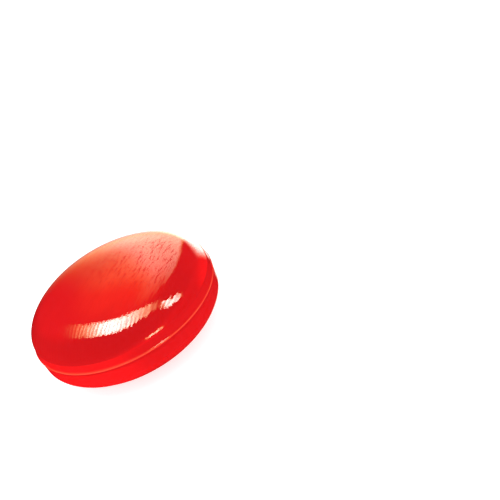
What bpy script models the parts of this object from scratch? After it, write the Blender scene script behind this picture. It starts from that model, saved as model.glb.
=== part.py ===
"""A boiled-sugar drop: one round lens of candy, pressed between two domed dies.

Seen from the side, it has a domed crown, a steep shoulder, a narrow side wall that
widens down to the seam where the dies met, and the same dome again underneath.
The candy lies flat. The origin is the centre of the small flat spot it rests on, and
+Z runs up through the crown. Every length is in metres.
"""

import math

import bmesh
import bpy

MM = 0.001

# Driving dimensions
SEAM_RADIUS = 12.75 * MM
DOME_FOOT_RADIUS = 0.982 * SEAM_RADIUS
DOME_HEIGHT = 4.0 * MM
UPPER_WALL_HEIGHT = 1.15 * MM
LOWER_WALL_HEIGHT = 2.0 * MM
REST_RADIUS = 4.0 * MM

# Form of both domes: 2 and 2 would make an ellipse, and a larger crown power a flatter crown
CROWN_POWER = 3.0
SHOULDER_POWER = 1.58

# The thin raised line at the seam and the groove that runs just under it
BEAD_RISE = 0.08 * MM
BEAD_HALF_WIDTH = 0.14 * MM
GROOVE_DROP = 0.34 * MM
GROOVE_DEPTH = 0.06 * MM

# Fineness of the facets
SEGMENTS = 80
DOME_RINGS = 14
WALL_RINGS = 3
MERGE_DISTANCE = 0.001 * MM

CANDY_RED = (0.80, 0.012, 0.013, 1.0)
CANDY_ROUGHNESS = 0.12


def clear_scene():
    """Removes whatever objects the scene already holds."""
    for obj in list(bpy.data.objects):
        bpy.data.objects.remove(obj, do_unlink=True)


def dome_point(turn):
    """Radius, and height above the dome's foot: turn is 0 at the crown and pi/2 at the foot."""
    radius = DOME_FOOT_RADIUS * math.sin(turn) ** (2 / CROWN_POWER)
    height = DOME_HEIGHT * max(0.0, math.cos(turn)) ** (2 / SHOULDER_POWER)
    return radius, height


def dome_curve(first_radius=0.0):
    """Points of a dome, from first_radius out to its foot."""
    first_turn = math.asin((first_radius / DOME_FOOT_RADIUS) ** (CROWN_POWER / 2))
    step = (math.pi / 2 - first_turn) / DOME_RINGS
    return [dome_point(first_turn + step * ring) for ring in range(DOME_RINGS + 1)]


def wall_point(height, rise=0.0):
    """A point of the side wall, at a height above the seam, that stands out of it by rise."""
    foot_height = UPPER_WALL_HEIGHT if height > 0 else LOWER_WALL_HEIGHT
    reach = abs(height) / foot_height
    widest = SEAM_RADIUS - BEAD_RISE
    return widest + (DOME_FOOT_RADIUS - widest) * reach + rise, height


def plain_wall(start, end):
    """Points of the side wall strictly between two heights above the seam."""
    step = (end - start) / WALL_RINGS
    return [wall_point(start + step * ring) for ring in range(1, WALL_RINGS)]


def seam_curve():
    """Points of the raised line and the groove, from above the line to below the groove."""
    return [
        wall_point(BEAD_HALF_WIDTH),
        wall_point(0.0, BEAD_RISE),
        wall_point(-BEAD_HALF_WIDTH),
        wall_point(-GROOVE_DROP, -GROOVE_DEPTH),
        wall_point(BEAD_HALF_WIDTH - 2 * GROOVE_DROP),
    ]


def outline():
    """The candy's half outline, from the middle of the crown to the middle of the rest spot."""
    crown = [(radius, UPPER_WALL_HEIGHT + height) for radius, height in dome_curve()]
    underside = [(radius, -LOWER_WALL_HEIGHT - height) for radius, height in dome_curve(REST_RADIUS)]
    seam = seam_curve()
    points = crown + plain_wall(UPPER_WALL_HEIGHT, seam[0][1]) + seam
    points += plain_wall(seam[-1][1], -LOWER_WALL_HEIGHT) + underside[::-1]
    rest_height = points[-1][1]
    points.append((0.0, rest_height))
    return [(radius, height - rest_height) for radius, height in points]


def turned_mesh(name, points):
    """Spins an outline of (radius, height) points once round Z into a closed mesh."""
    form = bmesh.new()
    corners = [form.verts.new((radius, 0.0, height)) for radius, height in points]
    edges = [form.edges.new(pair) for pair in zip(corners, corners[1:])]
    bmesh.ops.spin(
        form,
        geom=corners + edges,
        cent=(0.0, 0.0, 0.0),
        axis=(0.0, 0.0, 1.0),
        angle=2 * math.pi,
        steps=SEGMENTS,
        use_merge=True,
    )
    bmesh.ops.remove_doubles(form, verts=form.verts[:], dist=MERGE_DISTANCE)
    bmesh.ops.recalc_face_normals(form, faces=form.faces[:])
    mesh = bpy.data.meshes.new(name)
    form.to_mesh(mesh)
    form.free()
    mesh.shade_smooth()
    return mesh


def candy_material():
    """Clear red boiled sugar, with the wet gloss of a sucked-smooth surface."""
    material = bpy.data.materials.new("candy_red")
    material.use_nodes = True
    shader = material.node_tree.nodes["Principled BSDF"]
    shader.inputs["Base Color"].default_value = CANDY_RED
    shader.inputs["Roughness"].default_value = CANDY_ROUGHNESS
    shader.inputs["Metallic"].default_value = 0.0
    material.diffuse_color = CANDY_RED
    return material


def make_candy():
    """The whole sweet, one solid."""
    mesh = turned_mesh("candy", outline())
    mesh.materials.append(candy_material())
    candy = bpy.data.objects.new("candy", mesh)
    bpy.context.scene.collection.objects.link(candy)
    return candy


def main():
    clear_scene()
    make_candy()


main()
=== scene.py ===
"""The looks of a boiled-sugar drop: its fine pulled surface, red sugar, camera and studio.

The candy's form is worked out by a node tree from a few sizes, in metres, about the plane
of its seam. Its surface keeps the fine straight streaks that pulling the sugar leaves.
"""

import math

import bpy
from bpy.props import FloatProperty, FloatVectorProperty, IntProperty, PointerProperty
from mathutils import Matrix, Vector


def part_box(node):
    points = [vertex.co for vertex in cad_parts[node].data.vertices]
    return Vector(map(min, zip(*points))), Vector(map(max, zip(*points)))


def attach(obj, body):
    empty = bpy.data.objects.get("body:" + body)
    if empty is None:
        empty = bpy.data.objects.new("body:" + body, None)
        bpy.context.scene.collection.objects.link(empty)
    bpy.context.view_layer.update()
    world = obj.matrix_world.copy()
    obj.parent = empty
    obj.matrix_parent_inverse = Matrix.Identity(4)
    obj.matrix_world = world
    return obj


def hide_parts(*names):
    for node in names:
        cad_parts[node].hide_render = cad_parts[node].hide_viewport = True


bl_info = {
    "name": "Boiled Sugar Drop",
    "version": (1, 0, 0),
    "blender": (4, 5, 0),
    "location": "View3D > Sidebar > Sugar Drop",
    "description": "Makes a pressed drop of red boiled sugar and the studio it is shown in",
    "category": "Object",
}

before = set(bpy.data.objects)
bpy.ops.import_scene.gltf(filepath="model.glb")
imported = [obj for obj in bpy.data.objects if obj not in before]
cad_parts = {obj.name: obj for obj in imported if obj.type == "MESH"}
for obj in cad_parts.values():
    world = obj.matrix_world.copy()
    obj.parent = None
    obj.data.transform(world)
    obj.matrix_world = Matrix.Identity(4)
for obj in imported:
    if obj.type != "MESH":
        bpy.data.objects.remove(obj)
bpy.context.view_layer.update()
DROP_LOW, DROP_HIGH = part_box("candy")

MM = 0.001
PIECE_NAME = "hard_candy"

# Form of the dies, the same as the solid that the piece replaces
SEAM_RADIUS = (DROP_HIGH.x - DROP_LOW.x) / 2
FOOT_SHARE = 0.982
UPPER_WALL = 1.15 * MM
LOWER_WALL = 2.0 * MM
DOME_HEIGHT = 4.0 * MM
CROWN_POWER = 3.0
SHOULDER_POWER = 1.58
SEAM_HEIGHT = DROP_HIGH.z - DOME_HEIGHT - UPPER_WALL
SEAM_CENTRE = Vector((0.0, 0.0, SEAM_HEIGHT))

# Columns of the mesh run along the streaks, closer in the middle than at the two tips
COLUMNS = 560
CROWN_ROWS = 66
UNDER_ROWS = 16
BAND_ROWS = 7
WALL_ROWS = 24
COLUMN_CROWDING = 0.2
ROW_CROWDING = 1.1
WALL_CROWDING = 0.2
PATCH_SHARE = 0.935
MERGE_DISTANCE = 0.0001 * MM
SEAM_SHARPNESS = 1e-6

# The seam line strays over this length, and the wall near it goes along
WANDER_LENGTH = 6.0 * MM
WANDER_REACH = 0.8 * MM

# Ripples, dashes, grain and clouds each read another stretch of the same noise
RIPPLE_SHIFT = 31.0
DASH_SHIFT = 17.0
GRAIN_SHIFT = 3.0
CLOUD_SHIFT = 5.0
STREAK_SWAY = 8.0
SWAY_SPREAD = 2.5
DASH_EDGE = (0.59, 0.66)
GRAIN_SPACING = 0.15 * MM
GRAIN_LENGTH = 2.0 * MM
GRAIN_DEPTH = 0.004 * MM
CLOUD_SPACING = 2.6 * MM
CLOUD_LENGTH = 5.0 * MM

# Where the marks of pulling lie. Each pair is where something sets in and where it is whole,
# in millimetres: aside is right of the candy's middle, toward is nearer the viewer, and along
# is the way that the streaks run
SHOULDER_LEAN = 0.42
SHOULDER_PLACE = (3.0, 7.0)
SHOULDER_RADIUS = (7.0, 9.0)
DASH_RADIUS = (10.4, 8.6)
DASH_TOWARD = (-6.0, -1.0)
DASH_ALONG = (-3.6, -1.2)

# Shares of their depth that the marks keep away from the shoulder and on the side wall, and
# the shares of the seam's radius at which the wall gives way to the domes
MARKS_ELSEWHERE = 0.1
MARKS_ON_WALL = 0.15
DOME_RIM = (0.985, 0.95)

# The band of painted shade round the steep shoulder, with pairs in millimetres as above. Its
# level is a height that is tilted aside
SHADE_BAND_LEVEL = 2.5
SHADE_BAND_TILT = 0.10
SHADE_BAND_FOOT = (-1.3, -0.5)
SHADE_BAND_TOP = (1.4, 0.5)
LEFT_SIDE = (3.0, -5.0)
LEFT_LIFT = 0.9
RIGHT_HALF = (-2.0, 4.0)
RIGHT_HALF_LOSS = 0.25
RIGHT_END = (7.5, 10.5)
RIGHT_END_LOSS = 0.4

# Painted light on a paler, warmer patch of the crown, and painted glow and shade on the dome's foot under
# the band of painted shade
LIT_PATCH_ASIDE = 0.5
LIT_PATCH_TOWARD = 4.0
LIT_PATCH_DISTANCE = (8.0, 2.0)
LOW_DOME = (-0.8, -1.7)
LOW_SHADE_LEFT = (-3.0, 4.0)
LOW_SHADE_RIGHT = (10.4, 8.4)
LOW_SHADE = 0.85

# The side wall's painted glow and shade, the painted shadow in the crease above it and in the groove, and
# the seam line's painted highlight
WALL_EDGE = (0.12, -0.08)
WALL_SHADE_PLACE = (-7.0, 0.5)
WALL_SHADE = 0.8
CREASE_WIDTH = 0.14
CREASE_PLACE = (3.0, 9.0)
CREASE_SHADOW = 0.9
GROOVE_SHADOW_WIDTH = 0.13
SEAM_HIGHLIGHT_WIDTH = 0.10
SEAM_HIGHLIGHT_WIDENING = 0.06
SEAM_HIGHLIGHT_SHARE = 0.9

# How much the marks deepen the red. Each edge is a pair of values of the noise
CLOUD_EDGE = (0.45, 0.75)
CLOUD_SHADE = 0.2
GRAIN_EDGE = (0.45, 0.65)
GRAIN_SHADE = 0.12
DASH_SHADE = 0.5

# How much gloss is lost on the marks and at the seam line, and how much more on the shoulder
STREAK_EDGE = (0.45, 0.85)
STREAK_LOSS = 0.04
STREAK_SHOULDER_LOSS = 0.26
GRAIN_GLOSS_EDGE = (0.44, 0.56)
GRAIN_LOSS = 0.12
GRAIN_SHOULDER_LOSS = 0.05
DASH_LOSS = 0.65
SEAM_LOSS_WIDTH = 0.25
SEAM_LOSS = 0.6

# Boiled sugar, which light enters and leaves again a little farther on
SUGAR_IOR = 1.5
BODY_ROUGHNESS = 0.3
SCATTER_SHARE = 0.4
SCATTER_REACH = (1.0, 0.2, 0.1)
SCATTER_SCALE = 2.0 * MM

# The photograph's frame, and where the middle of the seam lies in it
FRAME_SIDE = 500
SEAM_PIXEL = (122.9, 304.2)
SENSOR = 36.0
CAMERA_LENS = 100.0
CAMERA_ELEVATION = math.radians(30.79)
CAMERA_ROLL = math.radians(31.11)
CAMERA_DISTANCE = 179.4 * MM
CAMERA_NEAR = 10.0 * MM

# Studio
FLOOR_SIDE = 4.0
KEY_SIZE = 0.5
KEY_TURN = math.radians(-40)
KEY_CLIMB = math.radians(60)
KEY_DISTANCE = 0.6
SKY_RADIUS = 0.4
SKY_GAP = 0.01
STRIP_HEIGHT = SEAM_HEIGHT + 250 * MM
STRIP_FRAY = 0.85
STRIP_ROWS = 4
CARD_STEPS = 24
TINT_GAIN = 1.3


class Term:
    """A number or vector that nodes work out: sums and products on it add the Math nodes."""

    def __init__(self, graph, socket):
        self.graph = graph
        self.socket = socket

    def maths(self, operation, *others):
        values = dict(enumerate((self,) + others))
        return self.graph.add("ShaderNodeMath", {"operation": operation}, values).out()

    def turned(self, operation, other):
        values = {0: other, 1: self}
        return self.graph.add("ShaderNodeMath", {"operation": operation}, values).out()

    def __add__(self, other):
        return self.maths("ADD", other)

    def __radd__(self, other):
        return self.maths("ADD", other)

    def __sub__(self, other):
        return self.maths("SUBTRACT", other)

    def __rsub__(self, other):
        return self.turned("SUBTRACT", other)

    def __mul__(self, other):
        return self.maths("MULTIPLY", other)

    def __rmul__(self, other):
        return self.maths("MULTIPLY", other)

    def __truediv__(self, other):
        return self.maths("DIVIDE", other)

    def __rtruediv__(self, other):
        return self.turned("DIVIDE", other)

    def __pow__(self, other):
        return self.maths("POWER", other)

    def __neg__(self):
        return self.maths("MULTIPLY", -1.0)

    def __abs__(self):
        return self.maths("ABSOLUTE")

    def step(self, low, high):
        """0 below low and 1 above high, with a soft rise between them; high may be the lower."""
        sockets = {"Value": self, "From Min": low, "From Max": high}
        settings = {"interpolation_type": "SMOOTHSTEP"}
        return self.graph.add("ShaderNodeMapRange", settings, sockets).out()

    def hump(self, middle, half_width):
        """1 where the number is at the middle, falling smoothly to nothing on both sides."""
        ratio = (self - middle) / half_width
        return (-(ratio * ratio)).maths("EXPONENT")


class Added:
    """A node that a graph has added."""

    def __init__(self, graph, node):
        self.graph = graph
        self.node = node

    def out(self, key=0):
        return Term(self.graph, self.node.outputs[key])


class Graph:
    """Adds nodes to one node tree."""

    def __init__(self, tree):
        self.tree = tree

    def add(self, kind, settings=None, sockets=None):
        """One node: its settings are set first, then each named socket's value or link."""
        node = self.tree.nodes.new(kind)
        for name, value in (settings or {}).items():
            setattr(node, name, value)
        for key, value in (sockets or {}).items():
            if isinstance(value, Term):
                self.tree.links.new(value.socket, node.inputs[key])
            else:
                node.inputs[key].default_value = value
        return Added(self, node)

    def vector(self, x, y, z):
        return self.add("ShaderNodeCombineXYZ", None, {"X": x, "Y": y, "Z": z}).out()

    def parts(self, vector):
        split = self.add("ShaderNodeSeparateXYZ", None, {"Vector": vector})
        return [split.out(axis) for axis in range(3)]

    def scaled(self, vector, factor):
        sockets = {"Vector": vector, "Scale": factor}
        return self.add("ShaderNodeVectorMath", {"operation": "SCALE"}, sockets).out()

    def noise(self, vector, detail=2.0):
        sockets = {"Vector": vector, "Scale": 1.0, "Detail": detail}
        return self.add("ShaderNodeTexNoise", {"noise_dimensions": "3D"}, sockets).out()

    def blend(self, factor, first, second):
        """A colour part of the way from first to second."""
        sockets = {0: factor, 6: first, 7: second}
        return self.add("ShaderNodeMix", {"data_type": "RGBA"}, sockets).out(2)


class DropForm(bpy.types.PropertyGroup):
    """Sizes of the seam line and of the streaks that the pulled sugar keeps."""

    bead_rise: FloatProperty(
        name="Seam Line Rise",
        description="How far the thin line at the seam stands out of the side wall",
        default=0.08 * MM,
        unit="LENGTH",
    )
    bead_width: FloatProperty(
        name="Seam Line Half Width",
        description="Half the width of the line at the seam",
        default=0.16 * MM,
        unit="LENGTH",
    )
    groove_drop: FloatProperty(
        name="Groove Drop",
        description="How far below the seam line the groove runs",
        default=0.34 * MM,
        unit="LENGTH",
    )
    groove_depth: FloatProperty(
        name="Groove Depth",
        description="Depth of the groove under the seam line",
        default=0.09 * MM,
        unit="LENGTH",
    )
    seam_wander: FloatProperty(
        name="Seam Wander",
        description="How far the seam line strays up and down on its way round",
        default=0.10 * MM,
        unit="LENGTH",
    )
    streak_angle: FloatProperty(
        name="Streak Angle",
        description="Direction of the streaks, turned from +X towards +Y",
        default=math.radians(45.0),
        unit="ROTATION",
    )
    streak_depth: FloatProperty(
        name="Streak Depth",
        description="Depth of the fine streaks",
        default=0.0052 * MM,
        unit="LENGTH",
    )
    streak_spacing: FloatProperty(
        name="Streak Spacing",
        description="Distance from one fine streak to the next",
        default=0.52 * MM,
        unit="LENGTH",
    )
    streak_length: FloatProperty(
        name="Streak Length",
        description="Length over which one fine streak sways",
        default=3.5 * MM,
        unit="LENGTH",
    )
    ripple_depth: FloatProperty(
        name="Ripple Depth",
        description="Depth of the broad soft ripples",
        default=0.004 * MM,
        unit="LENGTH",
    )
    ripple_spacing: FloatProperty(
        name="Ripple Spacing",
        description="Distance from one broad ripple to the next",
        default=0.9 * MM,
        unit="LENGTH",
    )
    ripple_length: FloatProperty(
        name="Ripple Length",
        description="Length of one broad ripple",
        default=7.0 * MM,
        unit="LENGTH",
    )
    dash_depth: FloatProperty(
        name="Dash Depth",
        description="Depth of the short dashes where small bubbles were drawn out",
        default=0.005 * MM,
        unit="LENGTH",
    )
    dash_spacing: FloatProperty(
        name="Dash Spacing",
        description="Distance from one row of short dashes to the next",
        default=0.16 * MM,
        unit="LENGTH",
    )
    dash_length: FloatProperty(
        name="Dash Length",
        description="Length of one short dash",
        default=1.2 * MM,
        unit="LENGTH",
    )
    seed: IntProperty(
        name="Seed",
        description="Picks another lie of streaks and ripples",
        default=7,
    )


class SugarLook(bpy.types.PropertyGroup):
    """Colours and gloss of the boiled sugar."""

    body: FloatVectorProperty(
        name="Crown Red",
        description="Colour of the crown",
        default=(0.71, 0.0095, 0.012),
        subtype="COLOR",
        min=0.0,
        max=1.0,
    )
    # Painted shade: this darker red is painted where shade falls: on the steep shoulder, the foot of the
    # dome, the right of the side wall, the crease and the groove. The cloud, grain and dash marks also
    # darken the red towards it.
    shade_and_mottle_red: FloatVectorProperty(
        name="Deep Red",
        description="Colour of the steep shoulder, where the sugar is seen at its deepest",
        default=(0.585, 0.0085, 0.0105),
        subtype="COLOR",
        min=0.0,
        max=1.0,
    )
    # Painted glow: this brighter red is painted on the side wall and the underside, standing for light that
    # comes through the sugar there.
    painted_glow: FloatVectorProperty(
        name="Side Red",
        description="Colour of the side wall and the underside, which light passes through",
        default=(0.88, 0.010, 0.012),
        subtype="COLOR",
        min=0.0,
        max=1.0,
    )
    # Painted light: this paler, warmer red is painted on a patch of the crown, standing for light that
    # falls there.
    warm: FloatVectorProperty(
        name="Crown Centre Red",
        description="Colour of the middle of the crown, warmer than the rest",
        default=(0.84, 0.019, 0.013),
        subtype="COLOR",
        min=0.0,
        max=1.0,
    )
    # Painted highlight: this paler red is painted along the seam line, standing for the light it catches.
    thin: FloatVectorProperty(
        name="Seam Red",
        description="Colour of the seam line, where the sugar is thinnest",
        default=(0.87, 0.080, 0.040),
        subtype="COLOR",
        min=0.0,
        max=1.0,
    )
    roughness: FloatProperty(
        name="Roughness",
        description="Roughness of the smoothest sugar",
        default=0.04,
        min=0.0,
        max=1.0,
        subtype="FACTOR",
    )


class StudioLook(bpy.types.PropertyGroup):
    """Light and floor of the studio."""

    sky_light: FloatProperty(
        name="Sky Light",
        description="Strength of the even light from all round",
        default=1.0,
        min=0.0,
    )
    key_power: FloatProperty(
        name="Key Power",
        description="Power of the large soft light",
        default=0.9,
        min=0.0,
        unit="POWER",
    )
    floor_colour: FloatVectorProperty(
        name="Floor Colour",
        description="Colour of the plain floor",
        default=(0.90, 0.90, 0.90),
        subtype="COLOR",
        min=0.0,
        max=1.0,
    )
    floor_glow: FloatProperty(
        name="Floor Glow",
        description="Light that comes up through the floor, as on a light table",
        default=0.75,
        min=0.0,
    )
    card_colour: FloatVectorProperty(
        name="Card Colour",
        description="Colour of the warm card behind the candy",
        default=(1.0, 0.82, 0.56),
        subtype="COLOR",
        min=0.0,
        max=1.0,
    )
    dim_colour: FloatVectorProperty(
        name="Faint Card Colour",
        description="Colour of the warm card where its light is faint",
        default=(1.0, 0.75, 0.16),
        subtype="COLOR",
        min=0.0,
        max=1.0,
    )
    strip_colour: FloatVectorProperty(
        name="Strip Colour",
        description="Colour of the bright strips over the candy",
        default=(1.0, 0.95, 0.84),
        subtype="COLOR",
        min=0.0,
        max=1.0,
    )
    strip_dim_colour: FloatVectorProperty(
        name="Faint Strip Colour",
        description="Colour of the bright strips where their light is faint",
        default=(1.0, 0.70, 0.20),
        subtype="COLOR",
        min=0.0,
        max=1.0,
    )


def form_sizes(form):
    """The named inputs of the candy's node tree, worked out from the user's sizes."""
    foot = SEAM_RADIUS * FOOT_SHARE
    return {
        "Seam Radius": SEAM_RADIUS,
        "Foot Radius": foot,
        "Patch Radius": foot * PATCH_SHARE,
        "Dome Height": DOME_HEIGHT,
        "Upper Wall": UPPER_WALL,
        "Lower Wall": LOWER_WALL,
        "Seam Height": SEAM_HEIGHT,
        "Bead Rise": form.bead_rise,
        "Bead Width": form.bead_width,
        "Groove Depth": form.groove_depth,
        "Groove Drop": form.groove_drop,
        "Seam Wander": form.seam_wander,
        "Streak Angle": form.streak_angle,
        "Streak Depth": form.streak_depth,
        "Streak Spacing": form.streak_spacing,
        "Streak Length": form.streak_length,
        "Dash Depth": form.dash_depth,
        "Dash Spacing": form.dash_spacing,
        "Dash Length": form.dash_length,
        "Ripple Depth": form.ripple_depth,
        "Ripple Spacing": form.ripple_spacing,
        "Ripple Length": form.ripple_length,
        "Seed": float(form.seed),
    }


def near_shoulder(x, y, radius):
    """1 on the shoulder where the pull marks are deepest: x across them, y along, in millimetres."""
    return (x * SHOULDER_LEAN - y).step(*SHOULDER_PLACE) * radius.step(*SHOULDER_RADIUS)


def streaks(graph, place, spacing, length, seed):
    """0 to 1 over streaks that run along y, a spacing apart, and sway a little over a length."""
    x, y, z = place
    across = x / (spacing * SWAY_SPREAD) + seed
    sway = graph.noise(graph.vector(across, y / length, z / length), 0.0)
    return (x * math.tau / spacing + sway * STREAK_SWAY).maths("SINE") * 0.5 + 0.5


class DropTree:
    """The node tree that works out the candy about the plane of its seam, in metres."""

    def __init__(self, sizes, material):
        self.tree = bpy.data.node_groups.new("pressed_drop", "GeometryNodeTree")
        self.graph = Graph(self.tree)
        self.keys = {}
        for name, value in sizes.items():
            socket = self.tree.interface.new_socket(name, in_out="INPUT", socket_type="NodeSocketFloat")
            socket.default_value = value
            self.keys[name] = socket.identifier
        self.tree.interface.new_socket("Geometry", in_out="OUTPUT", socket_type="NodeSocketGeometry")
        given = self.graph.add("NodeGroupInput")
        self.size = {name: given.out(name) for name in sizes}
        whole = self.closed([
            self.patch(1),
            self.patch(-1),
            self.ring(BAND_ROWS, self.upper_band),
            self.ring(WALL_ROWS, self.wall),
            self.ring(BAND_ROWS, self.lower_band),
        ])
        self.finish(self.standing(self.wandered(self.pulled(whole))), material)

    def place(self):
        """The parts of a point's place, and its distance from the candy's axis."""
        x, y, z = self.graph.parts(self.graph.add("GeometryNodeInputPosition").out())
        return x, y, z, (x * x + y * y).maths("SQRT")

    def dome_height(self, radius):
        """Height of a dome above its foot, at a radius."""
        share = (radius / self.size["Foot Radius"]).maths("MINIMUM", 1.0)
        return self.size["Dome Height"] * (1 - share ** CROWN_POWER) ** (1 / SHOULDER_POWER)

    def sheet(self, columns, rows):
        """A flat grid, with its across and along shares from 0 to 1."""
        sockets = {"Size X": 1.0, "Size Y": 1.0, "Vertices X": columns + 1, "Vertices Y": rows + 1}
        grid = self.graph.add("GeometryNodeMeshGrid", None, sockets)
        x, y, _, _ = self.place()
        return grid.out(), x + 0.5, y + 0.5

    def placed(self, geometry, x, y, z):
        sockets = {"Geometry": geometry, "Position": self.graph.vector(x, y, z)}
        return self.graph.add("GeometryNodeSetPosition", None, sockets).out()

    def moved(self, geometry, offset):
        sockets = {"Geometry": geometry, "Offset": offset}
        return self.graph.add("GeometryNodeSetPosition", None, sockets).out()

    def patch(self, side):
        """The middle of one dome, its columns straight along the streaks: side is 1 on top."""
        geometry, across, along = self.sheet(COLUMNS, CROWN_ROWS if side > 0 else UNDER_ROWS)
        turn = across * math.pi + (across * math.tau).maths("SINE") * COLUMN_CROWDING
        reach = ((along - 0.5) * (2 * ROW_CROWDING)).maths("SINE") / math.sin(ROW_CROWDING)
        x = turn.maths("COSINE") * self.size["Patch Radius"] * -side
        y = turn.maths("SINE") * self.size["Patch Radius"] * reach
        z = self.dome_height((x * x + y * y).maths("SQRT"))
        if side > 0:
            return self.placed(geometry, x, y, z + self.size["Upper Wall"])
        low = (z + self.size["Lower Wall"]).maths("MINIMUM", self.size["Seam Height"])
        return self.placed(geometry, x, y, -low)

    def ring(self, rows, outline):
        """A band round the candy: outline gives radius and height for a share from 0 to 1."""
        geometry, round_share, share = self.sheet(2 * COLUMNS, rows)
        turn = round_share * math.tau + (round_share * (2 * math.tau)).maths("SINE") * COLUMN_CROWDING
        radius, z = outline(share)
        return self.placed(geometry, turn.maths("COSINE") * -radius, turn.maths("SINE") * radius, z)

    def dome_band(self, share):
        """Outer part of a dome, from the patch's rim at 0 to the foot at 1, by equal turns."""
        first = math.asin(PATCH_SHARE ** (CROWN_POWER / 2))
        turn = share * (math.pi / 2 - first) + first
        radius = turn.maths("SINE") ** (2 / CROWN_POWER) * self.size["Foot Radius"]
        height = turn.maths("COSINE").maths("MAXIMUM", 0.0) ** (2 / SHOULDER_POWER)
        return radius, height * self.size["Dome Height"]

    def upper_band(self, share):
        radius, height = self.dome_band(share)
        return radius, height + self.size["Upper Wall"]

    def lower_band(self, share):
        radius, height = self.dome_band(1 - share)
        return radius, -height - self.size["Lower Wall"]

    def wall(self, share):
        """The side wall from the upper foot to the lower, with its seam line and groove."""
        walk = share * 2 - 1
        reach = walk * WALL_CROWDING + walk * walk * walk * (1 - WALL_CROWDING)
        below = reach.step(-SEAM_SHARPNESS, SEAM_SHARPNESS)
        depth = self.size["Upper Wall"] + below * (self.size["Lower Wall"] - self.size["Upper Wall"])
        z = -reach * depth
        widest = self.size["Seam Radius"] - self.size["Bead Rise"]
        radius = widest - (widest - self.size["Foot Radius"]) * abs(reach)
        bead = z.hump(0.0, self.size["Bead Width"])
        groove = z.hump(-self.size["Groove Drop"], self.size["Bead Width"])
        return radius + self.size["Bead Rise"] * bead - self.size["Groove Depth"] * groove, z

    def closed(self, pieces):
        """One closed skin from pieces that meet along their edges."""
        join = self.graph.add("GeometryNodeJoinGeometry")
        for piece in reversed(pieces):
            self.tree.links.new(piece.socket, join.node.inputs[0])
        sockets = {"Geometry": join.out(), "Distance": MERGE_DISTANCE}
        return self.graph.add("GeometryNodeMergeByDistance", None, sockets).out()

    def drawn_out(self, kind, shift):
        """Noise from 0 to 1 that is drawn out along the streaks."""
        x, y, z, _ = self.place()
        across = x / self.size[kind + " Spacing"] + self.size["Seed"] + shift
        length = self.size[kind + " Length"]
        return self.graph.noise(self.graph.vector(across, y / length, z / length), 0.0)

    def pulled(self, geometry):
        """Sinks the streaks and ripples into the domes, and fainter ones into the side wall."""
        x, y, z, radius = self.place()
        marks = near_shoulder(x / MM, y / MM, radius / MM) * (1 - MARKS_ELSEWHERE) + MARKS_ELSEWHERE
        spacing = self.size["Streak Spacing"]
        lines = streaks(self.graph, (x, y, z), spacing, self.size["Streak Length"], self.size["Seed"])
        depth = lines * self.size["Streak Depth"]
        depth = depth + self.drawn_out("Dash", DASH_SHIFT) * self.size["Dash Depth"]
        depth = depth * marks + self.drawn_out("Ripple", RIPPLE_SHIFT) * self.size["Ripple Depth"]
        domes = (radius / self.size["Seam Radius"]).step(*DOME_RIM) * (1 - MARKS_ON_WALL) + MARKS_ON_WALL
        normal = self.graph.add("GeometryNodeInputNormal").out()
        return self.moved(geometry, self.graph.scaled(normal, -depth * domes))

    def wandered(self, geometry):
        """Lets the seam line stray a little up and down."""
        x, y, z, _ = self.place()
        spot = self.graph.vector(x / WANDER_LENGTH, y / WANDER_LENGTH, self.size["Seed"])
        lift = self.graph.noise(spot) - 0.5
        near = z.hump(0.0, WANDER_REACH)
        return self.moved(geometry, self.graph.vector(0.0, 0.0, lift * near * self.size["Seam Wander"] * 2))

    def standing(self, geometry):
        """Turns the streaks to their angle, and stands the candy on the floor."""
        turn = self.graph.vector(0.0, 0.0, self.size["Streak Angle"] - math.pi / 2)
        rotation = self.graph.add("FunctionNodeEulerToRotation", None, {"Euler": turn}).out()
        lift = self.graph.vector(0.0, 0.0, self.size["Seam Height"])
        sockets = {"Geometry": geometry, "Translation": lift, "Rotation": rotation}
        return self.graph.add("GeometryNodeTransform", None, sockets).out()

    def finish(self, geometry, material):
        smooth = self.graph.add("GeometryNodeSetShadeSmooth", None, {0: geometry}).out()
        real = self.graph.add("GeometryNodeRealizeInstances", None, {0: smooth}).out()
        sockets = {"Geometry": real, "Material": material}
        dressed = self.graph.add("GeometryNodeSetMaterial", None, sockets).out()
        self.graph.add("NodeGroupOutput", None, {"Geometry": dressed})


def sugar_coordinates(graph, form):
    """Places in millimetres about the middle of the seam, with +Y along the streaks."""
    place = graph.add("ShaderNodeTexCoord").out("Object")
    sockets = {
        "Vector": place,
        "Location": (0.0, 0.0, -SEAM_HEIGHT / MM),
        "Rotation": (0.0, 0.0, math.pi / 2 - form.streak_angle),
        "Scale": (1 / MM, 1 / MM, 1 / MM),
    }
    mapped = graph.add("ShaderNodeMapping", {"vector_type": "POINT"}, sockets).out()
    x, y, z = graph.parts(mapped)
    return x, y, z, (x * x + y * y).maths("SQRT")


def blank_material(name):
    """A material without nodes, and the graph that adds them."""
    material = bpy.data.materials.new(name)
    material.use_nodes = True
    material.node_tree.nodes.clear()
    return material, Graph(material.node_tree)


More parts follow.
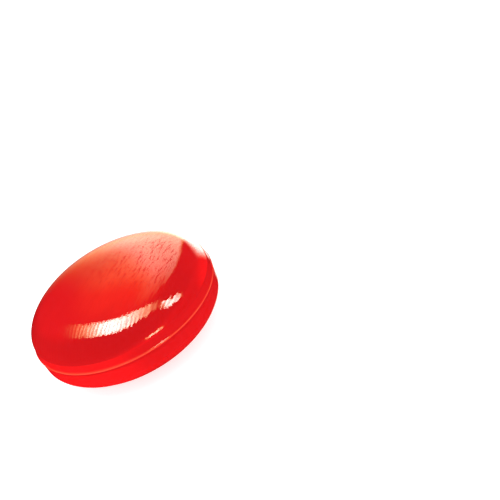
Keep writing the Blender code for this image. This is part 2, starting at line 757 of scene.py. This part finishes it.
class SugarMarks:
    """The marks of the pulled sugar, and its colour and gloss, from a point's place on the candy."""

    def __init__(self, graph, form):
        x, y, z, radius = sugar_coordinates(graph, form)
        self.graph = graph
        self.form = form
        self.place = (x, y, z)
        self.height = z
        self.aside = (x + y) * math.sqrt(0.5)
        self.toward = (x - y) * math.sqrt(0.5)
        self.shoulder = near_shoulder(x, y, radius)
        spacing = form.streak_spacing / MM
        self.lines = streaks(graph, self.place, spacing, form.streak_length / MM, float(form.seed))
        self.grain = self.drawn_out(GRAIN_SPACING, GRAIN_LENGTH, GRAIN_SHIFT, 1.0)
        self.cloud = self.drawn_out(CLOUD_SPACING, CLOUD_LENGTH, CLOUD_SHIFT, 2.0)
        dashes = self.drawn_out(form.dash_spacing, form.dash_length, DASH_SHIFT).step(*DASH_EDGE)
        dashes = dashes * radius.step(*DASH_RADIUS) * self.toward.step(*DASH_TOWARD)
        self.dashes = dashes * y.step(*DASH_ALONG)

    def drawn_out(self, spacing, length, shift, detail=0.0):
        """The same noise as the form's, so that colour and gloss follow its streaks."""
        x, y, z = self.place
        across = x / (spacing / MM) + float(self.form.seed) + shift
        return self.graph.noise(self.graph.vector(across, y / (length / MM), z / (length / MM)), detail)

    def painted_shade_band(self, level):
        """How strong the painted shade is round the shoulder: higher on the left, and thinned on the right.
        """
        rise = self.aside.step(*LEFT_SIDE) * LEFT_LIFT
        thinned = self.aside.step(*RIGHT_HALF) * RIGHT_HALF_LOSS
        thinned = thinned + self.aside.step(*RIGHT_END) * RIGHT_END_LOSS
        return level.step(*SHADE_BAND_FOOT) * (level - rise).step(*SHADE_BAND_TOP) * (1 - thinned)

    def colour(self, look):
        """The reds from the crown down to the side wall, with painted light, glow and shade, then the
        marks, with painted shadow in the crease and the groove, then the seam line's painted highlight.
        """
        blend = self.graph.blend
        aside = self.aside
        body, warm, shade_and_mottle_red, painted_glow, thin = (
            (*colour, 1.0) for colour in (look.body, look.warm, look.shade_and_mottle_red, look.painted_glow, look.thin)
        )
        lit_patch_aside = aside - LIT_PATCH_ASIDE
        lit_patch_toward = self.toward - LIT_PATCH_TOWARD
        off_centre = (lit_patch_aside * lit_patch_aside + lit_patch_toward * lit_patch_toward).maths("SQRT")
        level = self.height - aside * SHADE_BAND_TILT - SHADE_BAND_LEVEL
        above_wall = self.height - UPPER_WALL / MM
        shade = aside.step(*LOW_SHADE_LEFT) * aside.step(*LOW_SHADE_RIGHT) * LOW_SHADE
        # Painted glow on the side wall and the underside, turning to painted shade towards the right
        wall = blend(aside.step(*WALL_SHADE_PLACE) * WALL_SHADE, painted_glow, shade_and_mottle_red)

        # Painted light: a paler, warmer patch on the crown, a little towards the viewer
        colour = blend(off_centre.step(*LIT_PATCH_DISTANCE), body, warm)
        # Painted shade: a darker band round the steep shoulder
        colour = blend(self.painted_shade_band(level), colour, shade_and_mottle_red)
        # Painted glow and painted shade on the foot of the dome below the shoulder's band
        colour = blend(level.step(*LOW_DOME), colour, blend(shade, painted_glow, shade_and_mottle_red))
        colour = blend(above_wall.step(*WALL_EDGE), colour, wall)
        # The crease above the wall and the groove under the seam line get painted shadow; the cloud, grain
        # and dash marks darken the red along the streaks
        marks = (
            above_wall.hump(0.0, CREASE_WIDTH) * aside.step(*CREASE_PLACE) * CREASE_SHADOW,
            self.cloud.step(*CLOUD_EDGE) * CLOUD_SHADE,
            self.grain.step(*GRAIN_EDGE) * GRAIN_SHADE,
            self.dashes * DASH_SHADE,
            self.height.hump(-self.form.groove_drop / MM, GROOVE_SHADOW_WIDTH),
        )
        for mark in marks:
            colour = blend(mark, colour, shade_and_mottle_red)
        # Painted highlight along the seam line, wider on the left
        width = aside.step(*LEFT_SIDE) * SEAM_HIGHLIGHT_WIDENING + SEAM_HIGHLIGHT_WIDTH
        return blend(self.height.hump(0.0, width) * SEAM_HIGHLIGHT_SHARE, colour, thin)

    def gloss(self):
        """The share of the gloss that the marks and the seam line leave."""
        lines = self.lines.step(*STREAK_EDGE) * (self.shoulder * STREAK_SHOULDER_LOSS + STREAK_LOSS)
        grain = self.grain.step(*GRAIN_GLOSS_EDGE) * (self.shoulder * GRAIN_SHOULDER_LOSS + GRAIN_LOSS)
        seam = self.height.hump(0.0, SEAM_LOSS_WIDTH) * SEAM_LOSS
        return (1 - lines) * (1 - grain) * (1 - self.dashes * DASH_LOSS) * (1 - seam)


def sugar_material(look, form):
    """Red boiled sugar: painted shade on the shoulder, painted glow at the side, with fine pull streaks."""
    material, graph = blank_material("red_boiled_sugar")
    marks = SugarMarks(graph, form)
    sockets = {"Strength": 1.0, "Distance": GRAIN_DEPTH, "Height": marks.grain}
    normal = graph.add("ShaderNodeBump", None, sockets).out()
    shader = graph.add("ShaderNodeBsdfPrincipled", {"subsurface_method": "RANDOM_WALK"}, {
        "Base Color": marks.colour(look),
        "Roughness": BODY_ROUGHNESS,
        "IOR": SUGAR_IOR,
        "Specular IOR Level": 0.0,
        "Normal": normal,
        "Subsurface Weight": SCATTER_SHARE,
        "Subsurface Radius": SCATTER_REACH,
        "Subsurface Scale": SCATTER_SCALE,
        "Coat Weight": marks.gloss(),
        "Coat Roughness": look.roughness,
        "Coat IOR": SUGAR_IOR,
    })
    graph.add("ShaderNodeOutputMaterial", None, {"Surface": shader.out()})
    return material


def direction(turn, climb):
    """A direction turned from +Y towards +X, and raised above level."""
    level = math.cos(climb)
    return Vector((math.sin(turn) * level, math.cos(turn) * level, math.sin(climb)))


def card_material(name, colour, dim, strength, fades, slow=1, strokes=0):
    """Light that adds to what is behind it, and fades towards the colour dim and a card's edges.

    The fades are shares of the card at its left edge, right edge, foot and top. The light
    comes up from the left edge more slowly with a higher power slow. A card with strokes is
    frayed at its foot and top into about that many strokes.
    """
    material, graph = blank_material(name)
    across, up, _ = graph.parts(graph.add("ShaderNodeTexCoord").out("UV"))
    left, right, foot, top = fades
    if strokes:
        up = up + (graph.noise(graph.vector(across * float(strokes), up, 0.0), 0.0) - 0.5) * STRIP_FRAY
    share = across.step(0.0, left) ** slow * across.step(1.0, 1.0 - right)
    share = share * up.step(0.0, foot) * up.step(1.0, 1.0 - top)
    tint = graph.blend((share * TINT_GAIN).maths("MINIMUM", 1.0), (*dim, 1.0), (*colour, 1.0))
    light = graph.add("ShaderNodeEmission", None, {"Color": tint, "Strength": share * strength})
    clear = graph.add("ShaderNodeBsdfTransparent")
    shader = graph.add("ShaderNodeAddShader", None, {0: light.out(), 1: clear.out()})
    graph.add("ShaderNodeOutputMaterial", None, {"Surface": shader.out()})
    return material


def stage_mesh(name, columns, rows, place, material):
    """A stage sheet whose points place works out from shares across and up."""
    points = []
    shares = []
    for row in range(rows + 1):
        for column in range(columns + 1):
            shares.append((column / columns, row / rows))
            points.append(place(*shares[-1]))
    faces = []
    for row in range(rows):
        for column in range(columns):
            corner = row * (columns + 1) + column
            faces.append((corner, corner + 1, corner + columns + 2, corner + columns + 1))
    mesh = bpy.data.meshes.new(name)
    mesh.from_pydata(points, [], faces)
    layer = mesh.uv_layers.new(name="UVMap")
    for loop in mesh.loops:
        layer.data[loop.index].uv = shares[loop.vertex_index]
    mesh.materials.append(material)
    sheet = bpy.data.objects.new(name, mesh)
    bpy.context.scene.collection.objects.link(sheet)
    return sheet


def only_reflected(sheet):
    """Lets a card show in the candy's gloss, and nowhere else."""
    sheet.visible_camera = False
    sheet.visible_diffuse = False
    sheet.visible_transmission = False
    sheet.visible_volume_scatter = False
    sheet.visible_shadow = False


def sky_card(name, levels, radius, material):
    """A card on a sphere round the candy: each level gives its climb, left and right in degrees."""
    heights = [Vector(level) for level in levels]

    def place(across, up):
        climb, left, right = along(heights, up)
        turn = left + (right - left) * across
        return SEAM_CENTRE + direction(math.radians(turn), math.radians(climb)) * radius

    only_reflected(stage_mesh(name, CARD_STEPS, CARD_STEPS, place, material))


def along(points, share):
    """The point at a share of the way along a smooth curve through the points."""
    reach = share * (len(points) - 1)
    first = min(int(reach), len(points) - 2)
    step = reach - first
    before = points[max(first - 1, 0)]
    start = points[first]
    end = points[first + 1]
    after = points[min(first + 2, len(points) - 1)]
    leave = (end - before) / 2
    arrive = (after - start) / 2
    turn_in = 3 * (end - start) - 2 * leave - arrive
    turn_out = 2 * (start - end) + leave + arrive
    return start + step * (leave + step * (turn_in + step * turn_out))


def strip_card(name, far_edge, near_edge, material):
    """A level strip of light over the candy, between two edges in millimetres."""
    far_points = [Vector(point) * MM for point in far_edge]
    near_points = [Vector(point) * MM for point in near_edge]

    def place(across, up):
        spot = along(near_points, across).lerp(along(far_points, across), up)
        return Vector((spot.x, spot.y, STRIP_HEIGHT))

    only_reflected(stage_mesh(name, CARD_STEPS, STRIP_ROWS, place, material))


def add_floor(studio):
    """A plain pale floor that gives off a little light of its own."""
    material, graph = blank_material("pale_floor")
    colour = (*studio.floor_colour, 1.0)
    shader = graph.add("ShaderNodeBsdfPrincipled", None, {
        "Base Color": colour,
        "Roughness": 1.0,
        "Specular IOR Level": 0.0,
        "Emission Color": colour,
        "Emission Strength": studio.floor_glow,
    })
    graph.add("ShaderNodeOutputMaterial", None, {"Surface": shader.out()})

    def place(across, up):
        return Vector(((across - 0.5) * FLOOR_SIDE, (up - 0.5) * FLOOR_SIDE, 0.0))

    floor = stage_mesh("floor", 1, 1, place, material)
    floor.visible_glossy = False


def add_sky(studio):
    """Even light from all round, that the candy's gloss doesn't mirror."""
    world = bpy.data.worlds.new("even_light")
    bpy.context.scene.world = world
    world.use_nodes = True
    world.node_tree.nodes.clear()
    graph = Graph(world.node_tree)
    sockets = {"Color": (1.0, 1.0, 1.0, 1.0), "Strength": studio.sky_light}
    background = graph.add("ShaderNodeBackground", None, sockets)
    graph.add("ShaderNodeOutputWorld", None, {"Surface": background.out()})
    world.cycles_visibility.glossy = False


def add_key(studio):
    """A large soft light from the upper left."""
    light = bpy.data.lights.new("key", "AREA")
    light.shape = "DISK"
    light.size = KEY_SIZE
    light.energy = studio.key_power
    key = bpy.data.objects.new("key", light)
    place = SEAM_CENTRE + direction(KEY_TURN, KEY_CLIMB) * KEY_DISTANCE
    turn = (place - SEAM_CENTRE).to_track_quat("Z", "Y").to_matrix().to_4x4()
    key.matrix_world = Matrix.Translation(place) @ turn
    key.visible_glossy = False
    bpy.context.scene.collection.objects.link(key)


def add_cards(studio):
    """The cards behind and in front of the candy, and the strips over it, for its highlights."""
    warm = studio.card_colour
    white = studio.strip_colour
    orange = studio.dim_colour
    amber = studio.strip_dim_colour
    sky_card(
        "back_card",
        levels=((-12, -22, 27), (10, -18, 31.5), (32, -16, 39.5), (55, -3, 47.5), (78, -2, 35)),
        radius=SKY_RADIUS,
        material=card_material(
            "back_card", warm, orange, strength=4.4, fades=(0.56, 0.09, 0.30, 0.54), slow=3
        ),
    )
    sky_card(
        "ground_card",
        levels=((-50, -20, 32), (-20, -20, 32), (10, -20, 32)),
        radius=SKY_RADIUS + SKY_GAP,
        material=card_material(
            "ground_card", white, warm, strength=1.7, fades=(0.60, 0.20, 0.20, 0.45), slow=2
        ),
    )
    sky_card(
        "rim_card",
        levels=((-22, 0, 46), (-12, 6, 52), (-2, 13, 54.5), (7, 25, 55), (17, 40, 56)),
        radius=SKY_RADIUS + 2 * SKY_GAP,
        material=card_material(
            "rim_card", white, warm, strength=7.0, fades=(0.45, 0.40, 0.30, 0.45)
        ),
    )
    sky_card(
        "front_card",
        levels=((8, 152, 182), (25, 152, 182)),
        radius=SKY_RADIUS,
        material=card_material(
            "front_card", warm, orange, strength=26.0, fades=(0.45, 0.45, 0.40, 0.40), strokes=7
        ),
    )
    strip_card(
        "long_strip",
        far_edge=((-190, 332), (-71, 128), (-8, 62), (112, 18)),
        near_edge=((-262, 250), (-120, 28), (-36, -46), (112, -36)),
        material=card_material(
            "long_strip", white, amber, strength=36.0, fades=(0.47, 0.49, 0.12, 0.12), slow=3.3, strokes=38
        ),
    )
    strip_card(
        "short_strip",
        far_edge=((95, -8), (160, -10), (253, -15)),
        near_edge=((108, -78), (200, -108), (326, -88)),
        material=card_material(
            "short_strip", white, amber, strength=25.0, fades=(0.29, 0.48, 0.12, 0.12), strokes=8
        ),
    )


def add_camera():
    """The camera, turned so that the middle of the seam falls on its pixel of the photograph."""
    focal = FRAME_SIDE * CAMERA_LENS / SENSOR
    back = direction(math.pi, CAMERA_ELEVATION)
    level = Vector((1.0, 0.0, 0.0))
    upright = back.cross(level)
    right = level * math.cos(CAMERA_ROLL) - upright * math.sin(CAMERA_ROLL)
    up = level * math.sin(CAMERA_ROLL) + upright * math.cos(CAMERA_ROLL)
    rows = Matrix((right, up, back))
    half = FRAME_SIDE / 2
    sight = Vector(((SEAM_PIXEL[0] - half) / focal, (half - SEAM_PIXEL[1]) / focal, -1.0))
    swing = sight.rotation_difference(Vector((0.0, 0.0, -1.0))).to_matrix()
    camera = bpy.data.objects.new("camera", bpy.data.cameras.new("camera"))
    camera.data.lens = CAMERA_LENS
    camera.data.sensor_width = SENSOR
    camera.data.clip_start = CAMERA_NEAR
    eye = SEAM_CENTRE + back * CAMERA_DISTANCE
    camera.matrix_world = Matrix.Translation(eye) @ (rows.transposed() @ swing).to_4x4()
    bpy.context.scene.collection.objects.link(camera)
    bpy.context.scene.camera = camera


class SUGARDROP_OT_candy(bpy.types.Operator):
    """Makes the candy"""

    bl_idname = "sugar_drop.candy"
    bl_label = "Make Candy"

    def execute(self, context):
        form = context.scene.drop_form
        sizes = form_sizes(form)
        material = sugar_material(context.scene.sugar_look, form)
        form_tree = DropTree(sizes, material)
        candy = bpy.data.objects.new(PIECE_NAME, bpy.data.meshes.new("blank"))
        context.scene.collection.objects.link(candy)
        modifier = candy.modifiers.new("Form", "NODES")
        modifier.node_group = form_tree.tree
        for name, value in sizes.items():
            modifier[form_tree.keys[name]] = value
        depsgraph = context.evaluated_depsgraph_get()
        mesh = bpy.data.meshes.new_from_object(candy.evaluated_get(depsgraph), depsgraph=depsgraph)
        candy.modifiers.clear()
        mesh.name = PIECE_NAME
        candy.data = mesh
        if not mesh.polygons:
            raise RuntimeError("The candy's node tree made no faces")
        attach(candy, "root")
        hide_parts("candy")
        return {"FINISHED"}


class SUGARDROP_OT_studio(bpy.types.Operator):
    """Sets the floor, the lights, the cards that show in the gloss, and the camera"""

    bl_idname = "sugar_drop.studio"
    bl_label = "Set Studio"

    def execute(self, context):
        studio = context.scene.studio_look
        add_floor(studio)
        add_sky(studio)
        add_key(studio)
        add_cards(studio)
        add_camera()
        context.scene.view_settings.view_transform = "Standard"
        return {"FINISHED"}


class SUGARDROP_PT_panel(bpy.types.Panel):
    """Lists the sizes and colours, and the buttons that make the candy and its studio"""

    bl_idname = "SUGARDROP_PT_panel"
    bl_label = "Sugar Drop"
    bl_space_type = "VIEW_3D"
    bl_region_type = "UI"
    bl_category = "Sugar Drop"

    def draw(self, context):
        scene = context.scene
        for group in (scene.drop_form, scene.sugar_look, scene.studio_look):
            box = self.layout.box()
            for name in group.__annotations__:
                box.prop(group, name)
        for operator in OPERATORS:
            self.layout.operator(operator.bl_idname)


OPERATORS = (SUGARDROP_OT_candy, SUGARDROP_OT_studio)
CLASSES = (DropForm, SugarLook, StudioLook) + OPERATORS + (SUGARDROP_PT_panel,)


def register():
    for kind in CLASSES:
        bpy.utils.register_class(kind)
    bpy.types.Scene.drop_form = PointerProperty(type=DropForm)
    bpy.types.Scene.sugar_look = PointerProperty(type=SugarLook)
    bpy.types.Scene.studio_look = PointerProperty(type=StudioLook)


def unregister():
    del bpy.types.Scene.studio_look
    del bpy.types.Scene.sugar_look
    del bpy.types.Scene.drop_form
    for kind in reversed(CLASSES):
        bpy.utils.unregister_class(kind)


def main():
    register()
    bpy.ops.sugar_drop.candy()
    bpy.ops.sugar_drop.studio()


if __name__ == "__main__":
    main()
